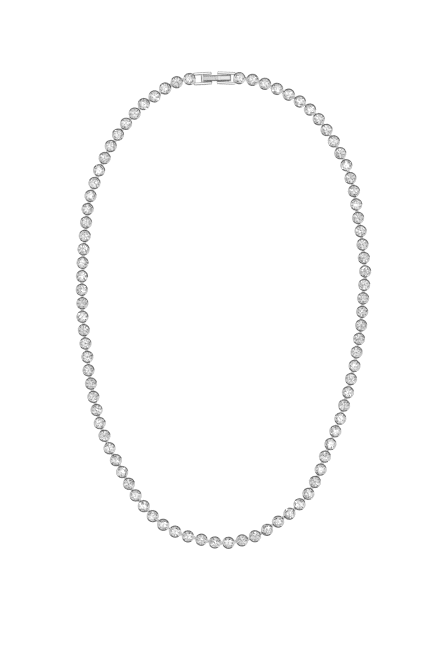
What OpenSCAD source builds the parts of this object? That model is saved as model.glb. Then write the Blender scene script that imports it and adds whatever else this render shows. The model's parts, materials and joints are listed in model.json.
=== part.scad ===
// Riviere necklace: a closed row of round stones in bezel cups with a fold-over clasp.
// It lies flat with its stones up. +Z is up and +Y points from the middle to the clasp.
// Sizes are in millimetres.

/* [Stones] */
// Diameter of a stone at its girdle
stone_d = 3.4; // [3:0.1:3.8]
// Height of the crown, from the girdle up to the table
crown_h = 0.51; // [0.4:0.01:0.6]
// Thickness of the girdle
girdle_h = 0.1; // [0.06:0.01:0.16]
// Depth of the pavilion, from the girdle down to the culet
pavilion_h = 1.46; // [1.3:0.02:1.6]

/* [Cups] */
// Clearance between a stone and the metal around it
stone_gap = 0.14; // [0.12:0.01:0.18]
// Wall of the cup beside the girdle
cup_wall = 0.31; // [0.25:0.01:0.45]
// How far the rim turns in over the stone's edge
rim_over = 0.1; // [0.06:0.01:0.16]
// Thickness of the turned-in rim
rim_h = 0.18; // [0.12:0.01:0.3]
// Width of the flat lip on top of the rim
rim_lip = 0.14; // [0.1:0.02:0.2]
// Fall of the rim from the lip to its outer edge
rim_fall = 0.2; // [0.1:0.02:0.3]
// Wall of the seat under the stone
seat_wall = 0.4; // [0.3:0.01:0.5]
// Diameter of the cup's foot
foot_d = 3.15; // [3:0.05:3.3]
// Diameter of the open back
back_d = 2.2; // [2:0.05:2.3]
// Height of the culet above the back of the cup
culet_rise = 0.52; // [0.46:0.02:0.66]

/* [Row] */
// Width of the loop, between the middles of the stones
loop_w = 98.3; // [90:0.1:110]
// Length of the loop, between the middles of the stones
loop_l = 161.4; // [150:0.1:175]
// Gap between two neighbouring cups
cup_gap = 0.38; // [0.34:0.02:0.6]
// Thickness of the wire of the eyes and staples
wire_d = 0.24; // [0.2:0.01:0.26]
// Width of an eye, between the middles of its wires
eye_w = 0.94; // [0.9:0.01:0.98]
// Reach of an eye and of a staple past the middle between two cups
hook = 0.29; // [0.27:0.01:0.34]
// Lean of the cups where they lie, in degrees
cup_lean = 4; // [0:0.5:5]
// Sideways wander of the row where it lies
row_wander = 0.2; // [0:0.05:0.3]

/* [Clasp] */
// Width of a clasp half over its rails
half_w = 4.3; // [4:0.05:4.6]
// Length of a clasp half, from the end stone's middle to its free end
half_l = 7.75; // [7.4:0.05:8.2]
// Width of the channel between the rails
channel_w = 2.6; // [2.5:0.05:2.8]
// Thickness of the clasp's floor
floor_h = 0.4; // [0.3:0.05:0.5]
// Height of the rails above the surface
rail_h = 1.5; // [1.45:0.05:1.8]
// Gap between the two clasp halves
half_gap = 1.8; // [1.4:0.1:2.2]
// Diameter of the hinge pin
pin_d = 0.6; // [0.5:0.02:0.66]
// Diameter of the catch bar
catch_d = 0.44; // [0.4:0.02:0.5]
// Width of the lever
lever_w = 2; // [1.8:0.05:2.05]
// Diameter of the lever's hinge eye
knuckle_d = 1.24; // [1.16:0.02:1.3]
// Thickness of the lever's bar
lever_h = 0.8; // [0.7:0.02:0.9]
// Length of floor left open between the end cup and the lever
floor_window = 1.8; // [1.6:0.1:2.2]
// Gap between the lever's tip and the other end cup
tip_gap = 0.7; // [0.5:0.05:1]

/* [Hidden] */
$fn = 48;
bite = 0.1;
run_gap = 0.08;
lay_gap = 0.12;

// Stone: the table and the facet tips lie at shares of the stone's radius
stone_r = stone_d / 2;
table_share = 0.56;
star_share = 0.76;
lower_share = 0.25;
facet_turn = 22.5;
table_r = stone_r * table_share;
star_r = stone_r * star_share;
lower_r = stone_r * lower_share;
crown_slope = crown_h / (stone_r - table_r);
pavilion_slope = pavilion_h / stone_r;

// Heights above the back of the cup
girdle_z = culet_rise + pavilion_h;
crown_z = girdle_z + girdle_h;
table_z = crown_z + crown_h;

// Cup: the seat runs along the pavilion, one clearance away from it
cavity_r = stone_r + stone_gap;
cup_r = cavity_r + cup_wall;
rim_in_r = stone_r - rim_over;
foot_r = foot_d / 2;
back_r = back_d / 2;
seat_out = stone_gap * sqrt(1 + pow(pavilion_slope, 2)) / pavilion_slope;
rim_rise = stone_gap * sqrt(1 + pow(crown_slope, 2));
rim_under_z = crown_z + rim_over * crown_slope + rim_rise;
cup_top = rim_under_z + rim_h;
function seat_z(r) = culet_rise + (r - seat_out) * pavilion_slope;

// Eyes and staples: the bend of each passes the joint by one hook
wire_r = wire_d / 2;
eye_r = eye_w / 2;
wire_rise = 0.08;
eye_z = eye_r + wire_r + wire_rise;
pitch = 2 * cup_r + cup_gap;
bend_x = pitch / 2 + hook - eye_r;
root_x = (foot_r + back_r) / 2;
lean_lift = foot_r * sin(cup_lean);

// Clasp, in the lever's own frame: the hinge pin is at x = 0 and the lever points along +X
pin_r = pin_d / 2;
catch_r = catch_d / 2;
knuckle_r = knuckle_d / 2;
pin_z = floor_h + lay_gap + knuckle_r;
lever_top = pin_z + knuckle_r;
lever_under = lever_top - lever_h;
hinge_x = cup_r + floor_window + knuckle_r;
span = 2 * half_l + half_gap;
lever_l = span - hinge_x - cup_r - tip_gap;
tooth_l = 0.7;
tooth_z = floor_h + lay_gap;
catch_gap = 0.2;
catch_x = cup_r + tip_gap + tooth_l + catch_gap + catch_r;
catch_z = floor_h + catch_r - bite;
plate_lap = 0.5;
plate_x = foot_r - plate_lap;
corner_cut = 0.6;
end_cut = 0.2;
lap_x = (half_l + cup_r + tip_gap) / 2;
left_skew = 2;
right_skew = -3.5;
lever_turn = 1.5;
left_turn = lever_turn + left_skew;
right_turn = lever_turn + right_skew;

// The row's route from the left end cup round to the right one, through points chosen by hand.
// Each is a share of half the loop's width and length, in percent.
full_share = 100;
clasp_share = [-6.6, 99.8];
route_shares = [
    [-37, 97], [-49, 92], [-61.5, 85.5], [-73, 76.5], [-84, 65.5], [-91, 55], [-96, 43.5],
    [-98, 32], [-99.5, 20], [-100, 8.5], [-99.5, -3], [-97.5, -14.5], [-94.5, -29],
    [-87, -48.5], [-80, -60], [-70, -71], [-61, -80.5], [-50, -88.5], [-34, -95],
    [-16, -98.5], [2, -100], [21, -97.5], [38, -91], [53, -83.5], [65, -73.5],
    [72, -61.5], [82, -46.5], [90, -29.5], [95.5, -12], [98.5, 5], [99.5, 17], [97.5, 31],
    [93, 45.5], [89.5, 57], [82, 68], [72, 78], [61, 86.5], [46, 92.5], [29, 97.5]
];
steps_per_span = 8;

// The links' play: how far a joint lies ahead of an even step, at shares of the row in percent
row_play = [[0, 0], [6, -0.5], [44, -0.8], [58, 0.3], [74, 1], [92, 1], [100, 0]];
wander_seed = 7;
lean_seed = 11;
turn_seed = 23;

// Small vector helpers
function turned(a, v) = [v.x * cos(a) - v.y * sin(a), v.x * sin(a) + v.y * cos(a)];
function at_share(s) = [s.x * loop_w, s.y * loop_l] / 2 / full_share;
function heading(v) = atan2(v.y, v.x);
function middle(a, b) = (a + b) / 2;

// The clasp's places: the middle of its gap is fixed, and the rest follows along the lever
gap_x = half_l + half_gap / 2 - hinge_x;
lap_in_lever = span - hinge_x - lap_x;
pin_at = at_share(clasp_share) - turned(lever_turn, [gap_x, 0]);
left_end = pin_at - turned(left_turn, [hinge_x, 0]);
lap_at = pin_at + turned(lever_turn, [lap_in_lever, 0]);
right_end = lap_at + turned(right_turn, [lap_x, 0]);

// Catmull-Rom curve through the first and last joints and the chosen points
first_joint = left_end - turned(left_turn, [pitch / 2, 0]);
last_joint = right_end + turned(right_turn, [pitch / 2, 0]);
stops = concat([first_joint], [for (s = route_shares) at_share(s)], [last_joint]);
last_stop = len(stops) - 1;
function stop_at(i) =
    i < 0 ? 2 * stops[0] - stops[1]
    : i > last_stop ? 2 * stops[last_stop] - stops[last_stop - 1]
    : stops[i];
function on_curve(i, t) =
    let (a = stop_at(i - 1), b = stop_at(i), c = stop_at(i + 1), d = stop_at(i + 2))
    (2 * b + (c - a) * t + (2 * a - 5 * b + 4 * c - d) * t * t
        + (3 * b - a - 3 * c + d) * t * t * t) / 2;
curve = concat(
    [for (i = [0:last_stop - 1]) for (k = [0:steps_per_span - 1])
        on_curve(i, k / steps_per_span)],
    [last_joint]
);
last_sample = len(curve) - 1;
run = [for (i = 0, s = 0; i <= last_sample;
    s = s + (i < last_sample ? norm(curve[i + 1] - curve[i]) : 0), i = i + 1) s];
route_l = run[last_sample];
run_x = [for (i = [0:last_sample]) [run[i], curve[i].x]];
run_y = [for (i = [0:last_sample]) [run[i], curve[i].y]];
function on_route(s) = [lookup(s, run_x), lookup(s, run_y)];

// Joints in steps along the route, each set a little to one side
link_count = round(route_l / pitch);
step = route_l / link_count;
half_count = ceil(link_count / 2);
wander = rands(-1, 1, link_count + 1, wander_seed);
lean = rands(-1, 1, link_count, lean_seed);
facet_spin = rands(0, 2 * facet_turn, link_count + 2, turn_seed);
function joint_s(i) = i * step + lookup(full_share * i / link_count, row_play);
function side_step(i) =
    i == 0 || i == link_count ? [0, 0]
    : turned(90 + heading(on_route(joint_s(i + 1)) - on_route(joint_s(i - 1))),
        [row_wander * wander[i], 0]);
joints = [for (i = [0:link_count]) on_route(joint_s(i)) + side_step(i)];
links = [for (i = [0:link_count - 1])
    [middle(joints[i], joints[i + 1]), heading(joints[i + 1] - joints[i]), cup_lean * lean[i]]];

// The frame's origin is under the middle of the whole outline
plate_corners = [
    for (e = [[left_end, left_turn], [right_end, right_turn + 180]])
        for (x = [plate_x + corner_cut, half_l])
            for (s = [-1, 1]) e[0] + turned(e[1], [x, s * half_w / 2])
];
cup_middles = concat([left_end, right_end], [for (l = links) l[0]]);
edge_x = concat([for (c = cup_middles) for (s = [-1, 1]) c.x + s * cup_r],
    [for (c = plate_corners) c.x]);
edge_y = concat([for (c = cup_middles) for (s = [-1, 1]) c.y + s * cup_r],
    [for (c = plate_corners) c.y]);
outline_middle = [(min(edge_x) + max(edge_x)) / 2, (min(edge_y) + max(edge_y)) / 2];

module in_frame(at, turn) {
    translate([at.x - outline_middle.x, at.y - outline_middle.y, 0])
        rotate([0, 0, turn]) children();
}

// A link leans about the line through its two joints
module at_link(link) {
    in_frame(link[0], link[1])
        translate([0, 0, eye_z + lean_lift])
            rotate([link[2], 0, 0])
                translate([0, 0, -eye_z]) children();
}

// Cup
module cup_outside() {
    rotate_extrude() polygon([
        [0, 0], [foot_r, 0], [foot_r, seat_z(foot_r - seat_wall)],
        [cup_r, seat_z(cup_r - seat_wall)], [cup_r, cup_top - rim_fall],
        [rim_in_r + rim_lip, cup_top], [0, cup_top]
    ]);
}

module cup_inside() {
    rotate_extrude() polygon([
        [0, -bite], [back_r, -bite], [back_r, seat_z(back_r)], [cavity_r, seat_z(cavity_r)],
        [cavity_r, rim_under_z], [rim_in_r, rim_under_z], [rim_in_r, cup_top + bite],
        [0, cup_top + bite]
    ]);
}

// Wire loop in the XY plane, from inside the cup's wall out past the joint
module wire_loop() {
    for (side = [-1, 1])
        translate([root_x, side * eye_r, 0])
            rotate([0, 90, 0]) cylinder(r = wire_r, h = bend_x - root_x);
    translate([bend_x, 0, 0]) rotate([0, 0, -90])
        rotate_extrude(angle = 180) translate([eye_r, 0]) circle(wire_r);
}

// Flat eye ahead of a cup and upright staple behind it, with their middles at height z
module eye(z) {
    translate([0, 0, z]) wire_loop();
}

module staple(z) {
    translate([0, 0, z]) rotate([90, 0, 180]) wire_loop();
}

module setting() {
    difference() {
        union() {
            cup_outside();
            eye(eye_z);
            staple(eye_z);
        }
        cup_inside();
    }
}

// Round brilliant: table, stars, kites, upper halves, girdle, lower halves and pavilion mains
function ring(r, z, count, start) =
    [for (k = [0:count - 1]) [r * cos(start + k * 360 / count), r * sin(start + k * 360 / count), z]];
fold = 8;
edge_count = 2 * fold;
star_z = table_z - (star_r * cos(facet_turn) - table_r) * crown_slope;
lower_z = culet_rise + lower_r * cos(facet_turn) * pavilion_slope;
stone_points = concat(
    ring(table_r, table_z, fold, 0), ring(star_r, star_z, fold, facet_turn),
    ring(stone_r, crown_z, edge_count, 0), ring(stone_r, girdle_z, edge_count, 0),
    ring(lower_r, lower_z, fold, facet_turn), [[0, 0, culet_rise]]
);
function table_i(k) = (k + fold) % fold;
function star_i(k) = fold + (k + fold) % fold;
function crown_i(j) = edge_count + j % edge_count;
function girdle_i(j) = 2 * edge_count + j % edge_count;
function lower_i(k) = 3 * edge_count + (k + fold) % fold;
culet_i = 3 * edge_count + fold;
stone_faces = concat(
    [[for (k = [fold - 1:-1:0]) k]],
    [for (k = [0:fold - 1]) [table_i(k), table_i(k + 1), star_i(k)]],
    [for (k = [0:fold - 1]) [table_i(k), star_i(k), crown_i(2 * k), star_i(k - 1)]],
    [for (k = [0:fold - 1]) for (j = [0, 1])
        [star_i(k), crown_i(2 * k + j + 1), crown_i(2 * k + j)]],
    [for (j = [0:edge_count - 1]) [crown_i(j), crown_i(j + 1), girdle_i(j + 1), girdle_i(j)]],
    [for (k = [0:fold - 1]) for (j = [0, 1])
        [girdle_i(2 * k + j), girdle_i(2 * k + j + 1), lower_i(k)]],
    [for (k = [0:fold - 1]) [girdle_i(2 * k), lower_i(k), culet_i, lower_i(k - 1)]]
);

module stone(spin) {
    rotate([0, 0, spin]) polyhedron(stone_points, stone_faces);
}

// Clasp half: a channel on the end cup, along +X
module channel() {
    linear_extrude(floor_h) polygon([
        [plate_x, -half_w / 2 + corner_cut], [plate_x + corner_cut, -half_w / 2],
        [half_l - end_cut, -half_w / 2], [half_l, -half_w / 2 + end_cut],
        [half_l, half_w / 2 - end_cut], [half_l - end_cut, half_w / 2],
        [plate_x + corner_cut, half_w / 2], [plate_x, half_w / 2 - corner_cut]
    ]);
    for (side = [0, 1]) mirror([0, side, 0])
        linear_extrude(rail_h) polygon([
            [plate_x, channel_w / 2], [half_l, channel_w / 2],
            [half_l, half_w / 2 - end_cut], [half_l - end_cut, half_w / 2],
            [plate_x + corner_cut, half_w / 2], [plate_x, half_w / 2 - corner_cut]
        ]);
}

module cross_bar(x, z, r, w) {
    translate([x, 0, z]) rotate([90, 0, 0]) cylinder(r = r, h = w, center = true);
}

module left_clasp_half() color("gainsboro") in_frame(left_end, left_turn) {
    difference() {
        union() {
            cup_outside();
            channel();
            cross_bar(hinge_x, pin_z, pin_r, half_w - 2 * bite);
            rotate([0, 0, 180]) eye(eye_z + lean_lift);
        }
        cup_inside();
    }
}

module right_clasp_half() color("gainsboro") in_frame(right_end, right_turn + 180) {
    difference() {
        union() {
            cup_outside();
            channel();
            cross_bar(catch_x, catch_z, catch_r, half_w - 2 * bite);
            staple(eye_z + lean_lift);
        }
        cup_inside();
    }
}

// Lever: a bar with a hinge eye round the pin and a tooth beyond the catch bar
module clasp_lever() color("silver") in_frame(pin_at, lever_turn) {
    difference() {
        union() {
            cross_bar(0, pin_z, knuckle_r, lever_w);
            translate([0, -lever_w / 2, lever_under]) cube([lever_l, lever_w, lever_h]);
            translate([lever_l - tooth_l, -lever_w / 2, tooth_z])
                cube([tooth_l, lever_w, lever_under - tooth_z + bite]);
        }
        cross_bar(0, pin_z, pin_r + run_gap, lever_w + 2 * bite);
    }
}

module settings(first, last) color("gainsboro") {
    for (i = [first:last]) at_link(links[i]) setting();
}

module stones(first, last) {
    for (i = [first:last]) at_link(links[i]) stone(facet_spin[i]);
}

module left_settings() settings(0, half_count - 1);
module right_settings() settings(half_count, link_count - 1);
module left_stones() color("white") {
    in_frame(left_end, left_turn) stone(facet_spin[link_count]);
    stones(0, half_count - 1);
}
module right_stones() color("white") {
    in_frame(right_end, right_turn) stone(facet_spin[link_count + 1]);
    stones(half_count, link_count - 1);
}

left_settings();
right_settings();
left_stones();
right_stones();
left_clasp_half();
right_clasp_half();
clasp_lever();
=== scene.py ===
import json
import math
from collections import namedtuple

import bmesh
import bpy
from mathutils import Matrix, Vector


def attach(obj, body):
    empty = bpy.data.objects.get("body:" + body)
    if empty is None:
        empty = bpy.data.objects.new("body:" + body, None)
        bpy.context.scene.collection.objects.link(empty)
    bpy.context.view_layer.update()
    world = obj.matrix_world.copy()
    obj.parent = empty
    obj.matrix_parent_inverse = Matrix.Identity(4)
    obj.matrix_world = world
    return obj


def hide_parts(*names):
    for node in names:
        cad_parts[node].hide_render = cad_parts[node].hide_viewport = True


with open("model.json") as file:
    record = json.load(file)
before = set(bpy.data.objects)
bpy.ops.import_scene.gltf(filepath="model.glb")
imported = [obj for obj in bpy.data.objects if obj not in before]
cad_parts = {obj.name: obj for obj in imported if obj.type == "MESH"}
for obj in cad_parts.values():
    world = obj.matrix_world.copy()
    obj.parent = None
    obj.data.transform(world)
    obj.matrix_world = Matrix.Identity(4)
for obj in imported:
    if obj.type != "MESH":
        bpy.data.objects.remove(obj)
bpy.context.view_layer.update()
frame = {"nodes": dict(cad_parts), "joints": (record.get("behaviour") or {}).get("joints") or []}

# Sizes in metres, worked out as the solids' own source does
MM = 0.001
STONE_R = 1.7 * MM
CROWN_H = 0.51 * MM
GIRDLE_H = 0.1 * MM
PAVILION_H = 1.46 * MM
TABLE_SHARE = 0.56
CROWN_SLOPE = CROWN_H / (STONE_R * (1 - TABLE_SHARE))
PAVILION_SLOPE = PAVILION_H / STONE_R

# Cups
CULET_RISE = 0.52 * MM
STONE_GAP = 0.14 * MM
CUP_WALL = 0.31 * MM
SEAT_WALL = 0.4 * MM
RIM_OVER = 0.1 * MM
RIM_H = 0.18 * MM
RIM_LIP = 0.14 * MM
RIM_FALL = 0.2 * MM
FOOT_R = 1.575 * MM
BACK_R = 1.1 * MM
CAVITY_R = STONE_R + STONE_GAP
CUP_R = CAVITY_R + CUP_WALL
RIM_IN_R = STONE_R - RIM_OVER
SEAT_OUT = STONE_GAP * math.sqrt(1 + PAVILION_SLOPE ** 2) / PAVILION_SLOPE
RIM_RISE = STONE_GAP * math.sqrt(1 + CROWN_SLOPE ** 2)
RIM_UNDER = CULET_RISE + PAVILION_H + GIRDLE_H + RIM_OVER * CROWN_SLOPE + RIM_RISE
CUP_TOP = RIM_UNDER + RIM_H

# Eyes and staples
CUP_GAP = 0.38 * MM
WIRE_R = 0.12 * MM
WIRE_RISE = 0.08 * MM
HOOK = 0.29 * MM
CUP_LEAN = math.radians(4)
EYE_R = 0.47 * MM
EYE_Z = EYE_R + WIRE_R + WIRE_RISE
BEND_X = CUP_R + CUP_GAP / 2 + HOOK - EYE_R
ROOT_X = (FOOT_R + BACK_R) / 2
LEAN_LIFT = FOOT_R * math.sin(CUP_LEAN)

# Clasp halves
HALF_W = 4.3 * MM
HALF_L = 7.75 * MM
HALF_GAP = 1.8 * MM
CHANNEL_W = 2.6 * MM
FLOOR_H = 0.4 * MM
RAIL_H = 1.5 * MM
RAIL_CHAMFER = 0.22 * MM
RAIL_DROP = 0.115 * MM
RAIL_START = 0.1 * MM
PLATE_LAP = 0.5 * MM
PLATE_X = FOOT_R - PLATE_LAP
CORNER_CUT = 0.6 * MM
END_CUT = 0.2 * MM
BITE = 0.1 * MM

# Lever, in its own frame: the pin at x = 0 and the tip along +X
RUN_GAP = 0.08 * MM
LAY_GAP = 0.12 * MM
TIP_GAP = 0.7 * MM
CATCH_GAP = 0.2 * MM
FLOOR_WINDOW = 1.8 * MM
PIN_R = 0.3 * MM
CATCH_R = 0.22 * MM
KNUCKLE_R = 0.62 * MM
BORE_R = PIN_R + RUN_GAP
PIN_Z = FLOOR_H + LAY_GAP + KNUCKLE_R
HINGE_X = CUP_R + FLOOR_WINDOW + KNUCKLE_R
SPAN = 2 * HALF_L + HALF_GAP
LEVER_W = 2 * MM
LEVER_H = 0.8 * MM
LEVER_L = SPAN - HINGE_X - CUP_R - TIP_GAP
LEVER_TOP = PIN_Z + KNUCKLE_R
LEVER_UNDER = LEVER_TOP - LEVER_H
LEVER_CHAMFER = 0.3 * MM
LEVER_DROP = 0.155 * MM
TOOTH_L = 0.7 * MM
TOOTH_Z = FLOOR_H + LAY_GAP
CATCH_X = CUP_R + TIP_GAP + TOOTH_L + CATCH_GAP + CATCH_R
CATCH_Z = FLOOR_H + CATCH_R - BITE

# Panels in the lever's top: the satin one by the hinge and the polished one by the tip
BRIGHT = 0
SATIN = 1
PANEL_MARGIN = 0.2 * MM
Panel = namedtuple("Panel", "start end border depth finish")
SATIN_PANEL = Panel(PANEL_MARGIN, 5.4 * MM, 0.03 * MM, 0.03 * MM, SATIN)
BRIGHT_PANEL = Panel(6 * MM, LEVER_L - PANEL_MARGIN, 0.1 * MM, 0.05 * MM, BRIGHT)

# Turns of the clasp's three pieces in degrees, and the places that follow from the pin
LEVER_TURN = 1.5
LEFT_SKEW = 2
RIGHT_SKEW = -3.5
LEFT_TURN = LEVER_TURN + LEFT_SKEW
RIGHT_TURN = LEVER_TURN + RIGHT_SKEW
LAP_X = (HALF_L + CUP_R + TIP_GAP) / 2


def along(turn, reach):
    """The step of one length in a direction given in degrees."""
    angle = math.radians(turn)
    return Vector((math.cos(angle), math.sin(angle), 0)) * reach


PIN_AT = Vector((*frame["joints"][0]["pos_m"][:2], 0))
LEFT_END = PIN_AT - along(LEFT_TURN, HINGE_X)
LAP_AT = PIN_AT + along(LEVER_TURN, SPAN - HINGE_X - LAP_X)
RIGHT_END = LAP_AT + along(RIGHT_TURN, LAP_X)

# How finely the shapes are cut, and the small easings of their edges
CUP_SIDES = 40
KNUCKLE_SIDES = 32
BAR_SIDES = 24
WIRE_SIDES = 8
BEND_STEPS = 8
ARC_STEPS = 8
EASE = 0.05 * MM
RIM_EDGE = 0.02 * MM
WELD = 0.0005 * MM
TOP_SLACK = 0.01 * MM
LOOP_SLACK = 0.1 * MM
FLAT_UP = 0.99

# A face of a larger area stays flat, and one whose normal rises less takes the darker side metal:
# painted shade, since the real piece's sides are the same bright metal
WIDE_FACE = 0.5 * MM * MM
STEEP = 0.5

# Edges sharper than these angles, in degrees, stay sharp
ROW_SMOOTH = 30
CLASP_SMOOTH = 20

# Noise in the metals, and the looks of the stones and the floor
NOISE_DETAIL = 3
NOISE_ROUGH = 0.6
WEAR_SCALE = 900
BRUSH_SCALE = 4000
BRUSH_STRETCH = (0.15, 1, 1)
BRUSH_STRENGTH = 0.15
BRUSH_DEPTH = 0.04 * MM
LEVER_GREY = 0.7
STONE_GREY = 0.82
STONE_IOR = 2.15
FLOOR_GREY = 0.9
FLOOR_ROUGH = 0.7
FLOOR_GLOW = 0.68


# Shader sums: a socket that takes part in Python expressions
class Value:
    def __init__(self, finish, socket):
        self.finish = finish
        self.socket = socket

    def math(self, operation, first, second):
        node = self.finish.node("ShaderNodeMath", {"operation": operation}, {0: first, 1: second})
        return Value(self.finish, node.outputs[0])

    def __add__(self, other):
        return self.math("ADD", self, other)

    def __mul__(self, other):
        return self.math("MULTIPLY", self, other)

    def __radd__(self, other):
        return self.math("ADD", other, self)

    def __rmul__(self, other):
        return self.math("MULTIPLY", other, self)


class Finish:
    def __init__(self, name, **constants):
        self.material = bpy.data.materials.new(name)
        self.material.use_nodes = True
        self.nodes = self.material.node_tree.nodes
        self.links = self.material.node_tree.links
        self.shader = self.nodes["Principled BSDF"]
        for socket, value in constants.items():
            self.shader.inputs[socket.replace("_", " ")].default_value = value

    def node(self, kind, settings, inputs):
        node = self.nodes.new(kind)
        for name, value in settings.items():
            setattr(node, name, value)
        for name, value in inputs.items():
            self.plug(node.inputs[name], value)
        return node

    def plug(self, socket, value):
        if isinstance(value, Value):
            self.links.new(value.socket, socket)
        elif isinstance(value, bpy.types.NodeSocket):
            self.links.new(value, socket)
        else:
            socket.default_value = value

    def place(self):
        return self.node("ShaderNodeTexCoord", {}, {}).outputs["Object"]

    def noise(self, scale, stretch):
        place = self.node("ShaderNodeMapping", {}, {"Vector": self.place(), "Scale": stretch})
        made = self.node(
            "ShaderNodeTexNoise", {},
            {
                "Vector": place.outputs[0], "Scale": scale, "Detail": NOISE_DETAIL,
                "Roughness": NOISE_ROUGH,
            },
        )
        return Value(self, made.outputs[0])

    def bump(self, height, strength, distance):
        made = self.node(
            "ShaderNodeBump", {},
            {"Height": height, "Strength": strength, "Distance": distance},
        )
        self.plug(self.shader.inputs["Normal"], made.outputs[0])


# Finishes
def grey(level):
    return (level, level, level, 1)


def polished_metal(name, level, roughness, wear):
    finish = Finish(name, Metallic=1.0, Base_Color=grey(level))
    grain = finish.noise(WEAR_SCALE, (1, 1, 1))
    finish.plug(finish.shader.inputs["Roughness"], roughness + wear * grain)
    return finish.material


def satin_metal(name, level, roughness, wear):
    """Metal brushed along X."""
    finish = Finish(name, Metallic=1.0, Base_Color=grey(level))
    brushed = finish.noise(BRUSH_SCALE, BRUSH_STRETCH)
    finish.plug(finish.shader.inputs["Roughness"], roughness + wear * brushed)
    finish.bump(brushed, BRUSH_STRENGTH, BRUSH_DEPTH)
    return finish.material


def clear_stone():
    finish = Finish(
        "clear_stone", Base_Color=grey(STONE_GREY), Roughness=0.0, IOR=STONE_IOR,
        Transmission_Weight=1.0,
    )
    return finish.material


bright_metal = polished_metal("bright_bezel_metal", level=0.82, roughness=0.03, wear=0.06)
clasp_metal = polished_metal("bright_clasp_metal", level=0.93, roughness=0.05, wear=0.08)
lever_metal = polished_metal("bright_lever_metal", level=LEVER_GREY, roughness=0.1, wear=0.08)
lever_satin = satin_metal("satin_lever_metal", level=LEVER_GREY, roughness=0.32, wear=0.16)
# A darker grey copy of the polished metal for steep sides: painted shade, not a different finish of
# the real piece
painted_shade_side_metal = polished_metal("painted_shade_side_metal", level=0.58, roughness=0.12, wear=0.08)
stone_glass = clear_stone()

HERE = Matrix.Identity(4)
HALF_TURN = Matrix.Rotation(math.pi, 4, "Z")
UPRIGHT = Matrix.Rotation(math.pi / 2, 4, "X")


def turned_at(place, turn):
    """A piece's own frame: its origin's place, and its turn about Z in degrees."""
    return Matrix.Translation(place) @ Matrix.Rotation(math.radians(turn), 4, "Z")


def verts_of(made):
    return [g for g in made["geom"] if isinstance(g, bmesh.types.BMVert)]


def faces_of(geom):
    return [g for g in geom if isinstance(g, bmesh.types.BMFace)]


# Shapes, each a bmesh in a piece's own frame
def seat_z(r):
    return CULET_RISE + (r - SEAT_OUT) * PAVILION_SLOPE


def cup_outline():
    """The cup's wall as a closed ring of (radius, height), from the back's edge round the outside."""
    lip = RIM_IN_R + RIM_LIP
    brow = CUP_R - RIM_EDGE
    return [
        (BACK_R, EASE), (BACK_R + EASE, 0), (FOOT_R - EASE, 0), (FOOT_R, EASE),
        (FOOT_R, seat_z(FOOT_R - SEAT_WALL)), (CUP_R, seat_z(CUP_R - SEAT_WALL)),
        (CUP_R, CUP_TOP - RIM_FALL - 2 * RIM_EDGE), (brow, CUP_TOP - RIM_FALL),
        (lip + RIM_EDGE, CUP_TOP - RIM_EDGE / 2), (lip, CUP_TOP),
        (RIM_IN_R + EASE, CUP_TOP), (RIM_IN_R, CUP_TOP - EASE), (RIM_IN_R, RIM_UNDER),
        (CAVITY_R, RIM_UNDER), (CAVITY_R, seat_z(CAVITY_R)), (BACK_R, seat_z(BACK_R)),
    ]


def ring_of(bm, outline):
    """Vertices and edges of a closed outline in the XZ plane."""
    verts = [bm.verts.new((x, 0, z)) for x, z in outline]
    edges = [bm.edges.new((a, b)) for a, b in zip(verts, verts[1:] + verts[:1])]
    return verts + edges


def spun(outline, sides):
    """A closed outline of (radius, height) turned round Z."""
    bm = bmesh.new()
    bmesh.ops.spin(
        bm, geom=ring_of(bm, outline), axis=(0, 0, 1), cent=(0, 0, 0),
        angle=math.tau, steps=sides, use_merge=True,
    )
    bmesh.ops.remove_doubles(bm, verts=bm.verts, dist=WELD)
    bmesh.ops.recalc_face_normals(bm, faces=bm.faces)
    return bm


def wire_loop():
    """A wire in the XY plane, out along one side, round the bend and back along the other."""
    bm = bmesh.new()
    made = bmesh.ops.create_circle(bm, cap_ends=True, radius=WIRE_R, segments=WIRE_SIDES)
    bmesh.ops.rotate(bm, verts=made["verts"], matrix=Matrix.Rotation(math.pi / 2, 3, "Y"))
    bmesh.ops.translate(bm, verts=made["verts"], vec=(ROOT_X, -EYE_R, 0))
    out = bmesh.ops.extrude_face_region(bm, geom=list(bm.faces))
    bmesh.ops.translate(bm, verts=verts_of(out), vec=(BEND_X - ROOT_X, 0, 0))
    bend = bmesh.ops.spin(
        bm, geom=faces_of(out["geom"]), cent=(BEND_X, 0, 0), axis=(0, 0, 1), angle=math.pi,
        steps=BEND_STEPS,
    )
    back = bmesh.ops.extrude_face_region(bm, geom=faces_of(bend["geom_last"]))
    bmesh.ops.translate(bm, verts=verts_of(back), vec=(ROOT_X - BEND_X, 0, 0))
    caps = [f for f in bm.faces if len(f.verts) == WIRE_SIDES]
    inner = [f for f in caps if f.calc_center_median().x > ROOT_X + WIRE_R]
    bmesh.ops.delete(bm, geom=inner, context="FACES_ONLY")
    bmesh.ops.remove_doubles(bm, verts=bm.verts, dist=WELD)
    bmesh.ops.recalc_face_normals(bm, faces=bm.faces)
    return bm


def slab(outline, low, high):
    """A plate with a closed (x, y) outline between two heights."""
    bm = bmesh.new()
    face = bm.faces.new([bm.verts.new((x, y, low)) for x, y in outline])
    grown = bmesh.ops.extrude_face_region(bm, geom=[face])
    bmesh.ops.translate(bm, verts=verts_of(grown), vec=(0, 0, high - low))
    bmesh.ops.recalc_face_normals(bm, faces=bm.faces)
    return bm


def face_on_top(bm):
    return max(bm.faces, key=lambda f: (round(f.normal.z, 2), f.calc_center_median().z))


def chamfer_top(bm, width, drop):
    """Slopes the border of the top face down, so that its middle keeps the height."""
    top = face_on_top(bm)
    bmesh.ops.translate(bm, verts=list(top.verts), vec=(0, 0, -drop))
    bmesh.ops.inset_region(bm, faces=[top], thickness=width, depth=drop, use_even_offset=True)


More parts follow.
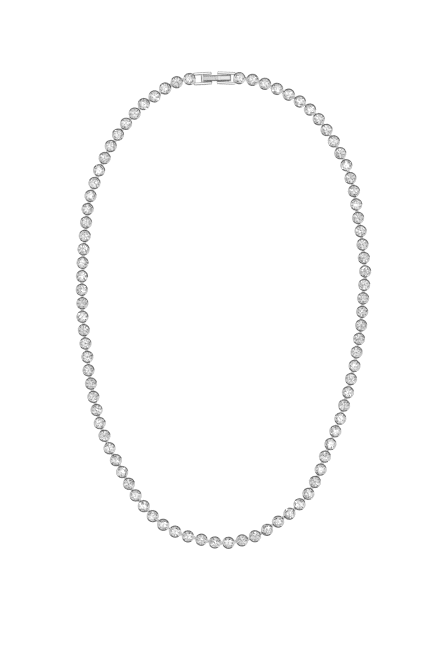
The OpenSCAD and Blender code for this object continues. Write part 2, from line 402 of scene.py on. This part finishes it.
def cross_bar(x, z, radius):
    """A round bar along Y that bites into both rails."""
    bm = bmesh.new()
    bmesh.ops.create_cone(
        bm, cap_ends=True, segments=BAR_SIDES, radius1=radius, radius2=radius,
        depth=HALF_W - 2 * BITE, matrix=Matrix.Translation((x, 0, z)) @ UPRIGHT,
    )
    return bm


def put(target, source, matrix):
    """Copies one bmesh into another at a place."""
    mesh = bpy.data.meshes.new("shape")
    source.to_mesh(mesh)
    mesh.transform(matrix)
    target.from_mesh(mesh)
    bpy.data.meshes.remove(mesh)


def piece(name, bm, body, nodes, finishes, smooth_angle):
    """Makes a shown piece that stands for CAD nodes and rides on their body."""
    mesh = bpy.data.meshes.new(name)
    bm.to_mesh(mesh)
    bm.free()
    for finish in (*finishes, painted_shade_side_metal):
        mesh.materials.append(finish)
    for face in mesh.polygons:
        # Steep faces take the darker side metal: painted shade on the sides
        face.use_smooth = face.area < WIDE_FACE
        if abs(face.normal.z) < STEEP:
            face.material_index = len(finishes)
    mesh.set_sharp_from_angle(angle=math.radians(smooth_angle))
    thing = bpy.data.objects.new(name, mesh)
    bpy.context.scene.collection.objects.link(thing)
    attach(thing, body)
    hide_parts(*nodes)


# Where each link lies, read from the solids
def islands(node):
    """The separate solids of a CAD node, each as its list of places."""
    bm = bmesh.new()
    bm.from_mesh(frame["nodes"][node].data)
    bmesh.ops.remove_doubles(bm, verts=bm.verts, dist=WELD)
    bm.verts.ensure_lookup_table()
    seen = set()
    found = []
    for vert in bm.verts:
        if vert.index in seen:
            continue
        seen.add(vert.index)
        reached = [vert]
        for v in reached:
            for edge in v.link_edges:
                other = edge.other_vert(v)
                if other.index not in seen:
                    seen.add(other.index)
                    reached.append(other)
        found.append([v.co.copy() for v in reached])
    bm.free()
    return found


def mean(places):
    return sum(places, Vector()) / len(places)


def across(place, up):
    """The part of a place that is at right angles to a direction."""
    return place - up * place.dot(up)


def stone_axes(node):
    """Each stone's culet and the direction from it to the middle of the stone."""
    axes = []
    for places in islands(node):
        culet = min(places, key=lambda p: p.z)
        axes.append((culet, (mean(places) - culet).normalized()))
    return axes


def link_places(settings_node, stones_node):
    """Matrix of each link: its own x towards its eye, z along its stone."""
    stones = stone_axes(stones_node)
    places = []
    for solid in islands(settings_node):
        middle = mean([p for p in solid if p.z > RIM_UNDER])
        culet, up = min(stones, key=lambda s: (s[0].xy - middle.xy).length)
        foot = culet - up * CULET_RISE
        around = [p - foot for p in solid]
        far = [p for p in around if across(p, up).length > CUP_R + LOOP_SLACK]
        one = across(far[0], up)
        ends = [[p for p in far if p.dot(one) > 0], [p for p in far if p.dot(one) < 0]]
        heights = [max(p.dot(up) for p in end) for end in ends]
        staple, eye = ends if heights[0] > heights[1] else reversed(ends)
        ahead = across(mean(eye) - mean(staple), up).normalized()
        side = up.cross(ahead)
        turn = Matrix((ahead, side, up)).transposed().to_4x4()
        places.append(Matrix.Translation(foot) @ turn)
    return places


def add_loop(bm, height, turn):
    put(bm, loop, Matrix.Translation((0, 0, height)) @ turn)


def link_shape():
    """A cup with its flat eye along +X and its upright staple along -X."""
    bm = bmesh.new()
    put(bm, cup, HERE)
    add_loop(bm, EYE_Z, HERE)
    add_loop(bm, EYE_Z, HALF_TURN @ UPRIGHT)
    return bm


def add_row(name, settings_node, stones_node):
    bm = bmesh.new()
    for place in link_places(settings_node, stones_node):
        put(bm, link, place)
    piece(name, bm, "necklace", [settings_node], [bright_metal], ROW_SMOOTH)


def add_channel(bm):
    """The clasp half's floor and its two rails."""
    w = HALF_W / 2
    floor = [
        (PLATE_X, -w + CORNER_CUT), (PLATE_X + CORNER_CUT, -w), (HALF_L - END_CUT, -w),
        (HALF_L, -w + END_CUT), (HALF_L, w - END_CUT), (HALF_L - END_CUT, w),
        (PLATE_X + CORNER_CUT, w), (PLATE_X, w - CORNER_CUT),
    ]
    put(bm, slab(floor, 0, FLOOR_H), HERE)
    start = PLATE_X + RAIL_START
    rail = [
        (start, CHANNEL_W / 2), (HALF_L, CHANNEL_W / 2), (HALF_L, w - END_CUT),
        (HALF_L - END_CUT, w), (PLATE_X + CORNER_CUT, w), (start, w - CORNER_CUT + RAIL_START),
    ]
    for side in (1, -1):
        shape = slab([(x, side * y) for x, y in rail], 0, RAIL_H)
        chamfer_top(shape, RAIL_CHAMFER, RAIL_DROP)
        put(bm, shape, HERE)


def clasp_half(name, node, place, bar, loop_turn):
    """An end cup with its channel, its bar across and the loop that joins it to the row."""
    bm = bmesh.new()
    put(bm, cup, HERE)
    add_channel(bm)
    put(bm, bar, HERE)
    add_loop(bm, EYE_Z + LEAN_LIFT, loop_turn)
    bm.transform(place)
    piece(name, bm, "necklace", [node], [clasp_metal], CLASP_SMOOTH)


def sink_panel(bar, panel):
    """A shallow panel in the lever's top, between two places along it."""
    for x in (panel.start, panel.end):
        everything = bar.verts[:] + bar.edges[:] + bar.faces[:]
        bmesh.ops.bisect_plane(bar, geom=everything, plane_co=(x, 0, 0), plane_no=(1, 0, 0))
    top = [
        f for f in bar.faces
        if f.normal.z > FLAT_UP and panel.start < f.calc_center_median().x < panel.end
        and f.calc_center_median().z > LEVER_TOP - TOP_SLACK
    ]
    bmesh.ops.inset_region(
        bar, faces=top, thickness=panel.border, depth=0, use_even_offset=True,
    )
    bmesh.ops.inset_region(
        bar, faces=top, thickness=panel.depth, depth=-panel.depth, use_even_offset=True,
    )
    for face in top:
        face.material_index = panel.finish


def lever_knuckle():
    """The lever's hinge eye, round Z."""
    w = LEVER_W / 2
    return spun(
        [
            (BORE_R, -w), (BORE_R, w), (KNUCKLE_R - EASE, w), (KNUCKLE_R, w - EASE),
            (KNUCKLE_R, EASE - w), (KNUCKLE_R - EASE, -w),
        ],
        KNUCKLE_SIDES,
    )


def lever_side_view():
    """The bar's (x, z) outline: an arc inside the hinge eye, the tooth, the tip and the top."""
    mid_r = (BORE_R + KNUCKLE_R) / 2
    high_angle = math.pi / 2
    low_angle = math.asin((LEVER_UNDER - PIN_Z) / mid_r)
    angles = [
        high_angle + (low_angle - high_angle) * k / ARC_STEPS for k in range(ARC_STEPS + 1)
    ]
    arc = [(mid_r * math.cos(a), PIN_Z + mid_r * math.sin(a)) for a in angles]
    return [
        *arc, (LEVER_L - TOOTH_L, LEVER_UNDER), (LEVER_L - TOOTH_L, TOOTH_Z),
        (LEVER_L, TOOTH_Z), (LEVER_L, LEVER_TOP), (0, LEVER_TOP),
    ]


def lever():
    """A bar whose hinge end is rounded and bored for the pin, with a tooth under its tip."""
    bm = bmesh.new()
    put(bm, lever_knuckle(), Matrix.Translation((0, 0, PIN_Z)) @ UPRIGHT)
    bar = slab(lever_side_view(), 0, LEVER_W)
    to_side = Matrix.Translation((0, LEVER_W / 2, 0)) @ UPRIGHT
    bmesh.ops.transform(bar, matrix=to_side, verts=bar.verts)
    chamfer_top(bar, LEVER_CHAMFER, LEVER_DROP)
    sink_panel(bar, SATIN_PANEL)
    sink_panel(bar, BRIGHT_PANEL)
    put(bm, bar, HERE)
    bm.transform(turned_at(PIN_AT, LEVER_TURN))
    finishes = [lever_metal, lever_satin]
    piece("lever", bm, "lever", ["clasp_lever"], finishes, CLASP_SMOOTH)


cup = spun(cup_outline(), CUP_SIDES)
loop = wire_loop()
link = link_shape()
add_row("left_row", "left_settings", "left_stones")
add_row("right_row", "right_settings", "right_stones")
clasp_half(
    "left_clasp", "left_clasp_half", turned_at(LEFT_END, LEFT_TURN),
    cross_bar(HINGE_X, PIN_Z, PIN_R), HALF_TURN,
)
clasp_half(
    "right_clasp", "right_clasp_half", turned_at(RIGHT_END, RIGHT_TURN + 180),
    cross_bar(CATCH_X, CATCH_Z, CATCH_R), HALF_TURN @ UPRIGHT,
)
lever()

for node in ("left_stones", "right_stones"):
    stones = frame["nodes"][node]
    stones.data.materials.clear()
    stones.data.materials.append(stone_glass)

# Floor, light and camera
FLOOR_HALF = 1.5
FLOOR_Z = -0.05 * MM
WORLD_GREY = 0.055

# Lights that face the middle: sizes in metres, brightness as seen from the middle
Softbox = namedtuple("Softbox", "name place width length brightness")
SOFTBOXES = [
    Softbox("over_back", (0, 0.34, 1.4), 1.2, 0.5, 1.12),
    Softbox("over_front", (0, -0.34, 1.4), 1.2, 0.5, 1.12),
    Softbox("over_gap", (0, 0, 1.4), 0.22, 0.18, 0.55),
    Softbox("over_left", (-0.36, 0, 1.4), 0.5, 0.2, 1.12),
    Softbox("over_right", (0.36, 0, 1.4), 0.5, 0.2, 1.12),
    Softbox("far_back", (0, 0.95, 1.4), 1.0, 0.3, 0.8),
    Softbox("far_front", (0, -0.95, 1.4), 1.0, 0.3, 0.8),
    Softbox("far_left", (-0.9, 0, 1.4), 1.0, 0.4, 0.85),
    Softbox("far_right", (0.9, 0, 1.4), 1.0, 0.4, 0.85),
    Softbox("right", (1.12, -0.5, 0.85), 1.6, 0.8, 0.62),
    Softbox("left", (-1.2, 0.02, 0.85), 1.45, 0.8, 0.52),
]

# Four small bright lights, for the sparkle in the stones
SPARK_TURNS = (35, 125, 215, 305)
SPARK_OUT = 1
SPARK_HEIGHT = 1.3
SPARK_SIZE = 0.12
SPARK_BRIGHTNESS = 14


def pale_floor():
    bm = bmesh.new()
    bmesh.ops.create_grid(bm, x_segments=1, y_segments=1, size=FLOOR_HALF)
    mesh = bpy.data.meshes.new("floor")
    bm.to_mesh(mesh)
    bm.free()
    mesh.transform(Matrix.Translation((0, 0, FLOOR_Z)))
    finish = Finish(
        "pale_floor", Base_Color=grey(FLOOR_GREY), Roughness=FLOOR_ROUGH,
        Emission_Color=grey(1), Emission_Strength=FLOOR_GLOW,
    )
    mesh.materials.append(finish.material)
    floor = bpy.data.objects.new("floor", mesh)
    bpy.context.scene.collection.objects.link(floor)


def add_softbox(box):
    light = bpy.data.lights.new(box.name, "AREA")
    light.shape = "RECTANGLE"
    light.size = box.width
    light.size_y = box.length
    light.energy = box.brightness * math.pi * box.width * box.length
    lamp = bpy.data.objects.new(box.name, light)
    lamp.location = box.place
    lamp.rotation_euler = (-Vector(box.place)).to_track_quat("-Z", "Y").to_euler()
    lamp.visible_camera = False
    bpy.context.scene.collection.objects.link(lamp)


def studio():
    world = bpy.data.worlds.new("studio")
    world.use_nodes = True
    world.node_tree.nodes["Background"].inputs["Color"].default_value = grey(WORLD_GREY)
    bpy.context.scene.world = world
    for box in SOFTBOXES:
        add_softbox(box)
    for turn in SPARK_TURNS:
        place = along(turn, SPARK_OUT) + Vector((0, 0, SPARK_HEIGHT))
        add_softbox(Softbox("spark_%d" % turn, place, SPARK_SIZE, SPARK_SIZE, SPARK_BRIGHTNESS))
    bpy.context.scene.view_settings.view_transform = "Standard"
    bpy.context.scene.cycles.use_denoising = False


# The photograph's size in pixels, its scale and the pixel at the middle of the loop
PHOTO_W = 443
PHOTO_H = 665
MM_PER_PX = 0.34642
MIDDLE_PX = (223.5, 310.1)
SEEN_Z = 2.2 * MM
LENS_MM = 120
SENSOR_MM = 36
CLIP_START = 10 * MM


def photo_camera():
    """Straight above, so that one pixel of the picture is one pixel of the photograph."""
    px = MM_PER_PX * MM
    data = bpy.data.cameras.new("camera")
    data.lens = LENS_MM
    data.sensor_width = SENSOR_MM
    data.clip_start = CLIP_START
    distance = LENS_MM / SENSOR_MM * PHOTO_H * px
    camera = bpy.data.objects.new("camera", data)
    camera.location = (
        (PHOTO_W / 2 - MIDDLE_PX[0]) * px, (MIDDLE_PX[1] - PHOTO_H / 2) * px, distance + SEEN_Z,
    )
    bpy.context.scene.collection.objects.link(camera)
    bpy.context.scene.camera = camera


pale_floor()
studio()
photo_camera()
